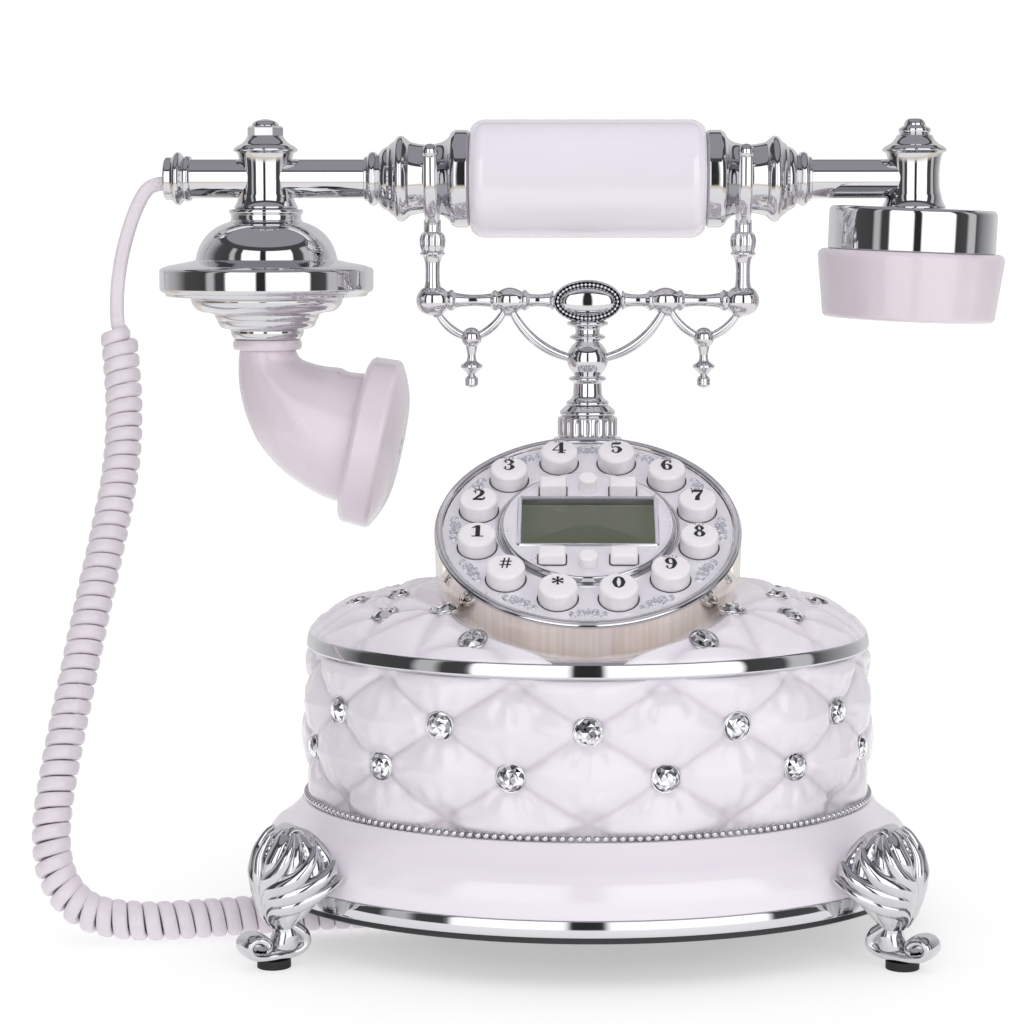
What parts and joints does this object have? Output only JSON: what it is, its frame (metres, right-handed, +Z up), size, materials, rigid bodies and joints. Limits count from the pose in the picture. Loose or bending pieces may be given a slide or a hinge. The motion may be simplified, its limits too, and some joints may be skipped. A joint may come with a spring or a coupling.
{
  "type": "ornate cradle telephone",
  "caption": "Ornate white and chrome desk telephone with a quilted oval base on scroll feet, tilted push-button dial, cradle and horn handset on a curly cord.",
  "frame": {"origin": "middle of the body's footprint, on the floor", "axes": "+X along the handset towards the earpiece, -Y towards the user, +Z up"},
  "size_m": [0.2909, 0.1512, 0.2415],
  "materials": {
    "white_plastic": "high gloss",
    "pearl_plastic": "pearly satin gloss, tufted",
    "handset_plastic": "semi gloss",
    "key_plastic": "milky, semi gloss",
    "cord_plastic": "satin",
    "clear_plastic": "clear",
    "chrome_casting": "mirror",
    "chromed_plastic": "bright chrome plating",
    "silver_plate": "satin, embossed",
    "display_glass": "clear over grey-green liquid crystal",
    "crystal": "cut and foiled",
    "black_plastic": "fine grain",
    "rubber": "matte",
    "circuit_board": "solder mask",
    "spring_steel": "bright wire"
  },
  "bodies": {
    "base": {"base_plate": "black_plastic", "base_skirt": "white_plastic", "skirt_rim": "chromed_plastic", "drum_shell": "pearl_plastic", "drum_rim": "chromed_plastic", "top_cushion": "pearl_plastic", "bead_trim": "chromed_plastic", "crystals": "crystal", "feet": "chrome_casting", "foot_pads": "rubber", "dial_housing": "chromed_plastic", "dial_face": "silver_plate", "display_window": "display_glass", "main_board": "circuit_board", "ringer": "black_plastic", "stem_collar": "chrome_casting", "hook_switch": "black_plastic", "hook_spring": "spring_steel", "line_jack": "black_plastic", "cord_jack": "black_plastic", "cord_lead": "cord_plastic", "cord_coil": "cord_plastic", "cord_tail": "cord_plastic", "cord_plug": "clear_plastic"},
    "cradle": {"cradle_stem": "chrome_casting", "cradle_bar": "chrome_casting", "cradle_forks": "chrome_casting", "cradle_swags": "chrome_casting", "medallion": "chrome_casting"},
    "handset": {"grip_sleeve": "white_plastic", "grip_collars": "chrome_casting", "handset_tube": "chrome_casting", "tail_cap": "chrome_casting", "mouth_post": "chrome_casting", "mouth_bell": "chromed_plastic", "mouth_elbow": "handset_plastic", "mouth_cap": "handset_plastic", "microphone": "black_plastic", "ear_post": "chrome_casting", "ear_housing": "chromed_plastic", "ear_cap": "handset_plastic", "receiver": "black_plastic"},
    "key_4": {"key_4": "key_plastic"},
    "key_3": {"key_3": "key_plastic"},
    "key_2": {"key_2": "key_plastic"},
    "key_1": {"key_1": "key_plastic"},
    "key_hash": {"key_hash": "key_plastic"},
    "key_star": {"key_star": "key_plastic"},
    "key_0": {"key_0": "key_plastic"},
    "key_9": {"key_9": "key_plastic"},
    "key_8": {"key_8": "key_plastic"},
    "key_7": {"key_7": "key_plastic"},
    "key_6": {"key_6": "key_plastic"},
    "key_5": {"key_5": "key_plastic"},
    "key_upper_left": {"key_upper_left": "key_plastic"},
    "key_upper_mid": {"key_upper_mid": "key_plastic"},
    "key_upper_right": {"key_upper_right": "key_plastic"},
    "key_lower_left": {"key_lower_left": "key_plastic"},
    "key_lower_mid": {"key_lower_mid": "key_plastic"},
    "key_lower_right": {"key_lower_right": "key_plastic"}
  },
  "joints": [
    {"name": "hook_rise", "type": "slide", "parent": "base", "child": "cradle", "axis": [0, 0, 1], "range_m": [0, 0.004], "stiffness_N_per_m": 150, "springref_m": 0.0167, "deforming": ["hook_spring"]},
    {"name": "handset_lift", "type": "slide", "parent": "cradle", "child": "handset", "axis": [0, 0, 1], "range_m": [0, 0.12]},
    {"name": "press_4", "type": "slide", "parent": "base", "child": "key_4", "axis": [0, 0.515, -0.8572], "range_m": [0, 0.0015], "stiffness_N_per_m": 200, "springref_m": -0.002},
    {"name": "press_3", "type": "slide", "parent": "base", "child": "key_3", "axis": [0, 0.515, -0.8572], "range_m": [0, 0.0015], "stiffness_N_per_m": 200, "springref_m": -0.002},
    {"name": "press_2", "type": "slide", "parent": "base", "child": "key_2", "axis": [0, 0.515, -0.8572], "range_m": [0, 0.0015], "stiffness_N_per_m": 200, "springref_m": -0.002},
    {"name": "press_1", "type": "slide", "parent": "base", "child": "key_1", "axis": [0, 0.515, -0.8572], "range_m": [0, 0.0015], "stiffness_N_per_m": 200, "springref_m": -0.002},
    {"name": "press_hash", "type": "slide", "parent": "base", "child": "key_hash", "axis": [0, 0.515, -0.8572], "range_m": [0, 0.0015], "stiffness_N_per_m": 200, "springref_m": -0.002},
    {"name": "press_star", "type": "slide", "parent": "base", "child": "key_star", "axis": [0, 0.515, -0.8572], "range_m": [0, 0.0015], "stiffness_N_per_m": 200, "springref_m": -0.002},
    {"name": "press_0", "type": "slide", "parent": "base", "child": "key_0", "axis": [0, 0.515, -0.8572], "range_m": [0, 0.0015], "stiffness_N_per_m": 200, "springref_m": -0.002},
    {"name": "press_9", "type": "slide", "parent": "base", "child": "key_9", "axis": [0, 0.515, -0.8572], "range_m": [0, 0.0015], "stiffness_N_per_m": 200, "springref_m": -0.002},
    {"name": "press_8", "type": "slide", "parent": "base", "child": "key_8", "axis": [0, 0.515, -0.8572], "range_m": [0, 0.0015], "stiffness_N_per_m": 200, "springref_m": -0.002},
    {"name": "press_7", "type": "slide", "parent": "base", "child": "key_7", "axis": [0, 0.515, -0.8572], "range_m": [0, 0.0015], "stiffness_N_per_m": 200, "springref_m": -0.002},
    {"name": "press_6", "type": "slide", "parent": "base", "child": "key_6", "axis": [0, 0.515, -0.8572], "range_m": [0, 0.0015], "stiffness_N_per_m": 200, "springref_m": -0.002},
    {"name": "press_5", "type": "slide", "parent": "base", "child": "key_5", "axis": [0, 0.515, -0.8572], "range_m": [0, 0.0015], "stiffness_N_per_m": 200, "springref_m": -0.002},
    {"name": "press_upper_left", "type": "slide", "parent": "base", "child": "key_upper_left", "axis": [0, 0.515, -0.8572], "range_m": [0, 0.0015], "stiffness_N_per_m": 200, "springref_m": -0.002},
    {"name": "press_upper_mid", "type": "slide", "parent": "base", "child": "key_upper_mid", "axis": [0, 0.515, -0.8572], "range_m": [0, 0.0015], "stiffness_N_per_m": 200, "springref_m": -0.002},
    {"name": "press_upper_right", "type": "slide", "parent": "base", "child": "key_upper_right", "axis": [0, 0.515, -0.8572], "range_m": [0, 0.0015], "stiffness_N_per_m": 200, "springref_m": -0.002},
    {"name": "press_lower_left", "type": "slide", "parent": "base", "child": "key_lower_left", "axis": [0, 0.515, -0.8572], "range_m": [0, 0.0015], "stiffness_N_per_m": 200, "springref_m": -0.002},
    {"name": "press_lower_mid", "type": "slide", "parent": "base", "child": "key_lower_mid", "axis": [0, 0.515, -0.8572], "range_m": [0, 0.0015], "stiffness_N_per_m": 200, "springref_m": -0.002},
    {"name": "press_lower_right", "type": "slide", "parent": "base", "child": "key_lower_right", "axis": [0, 0.515, -0.8572], "range_m": [0, 0.0015], "stiffness_N_per_m": 200, "springref_m": -0.002}
  ]
}
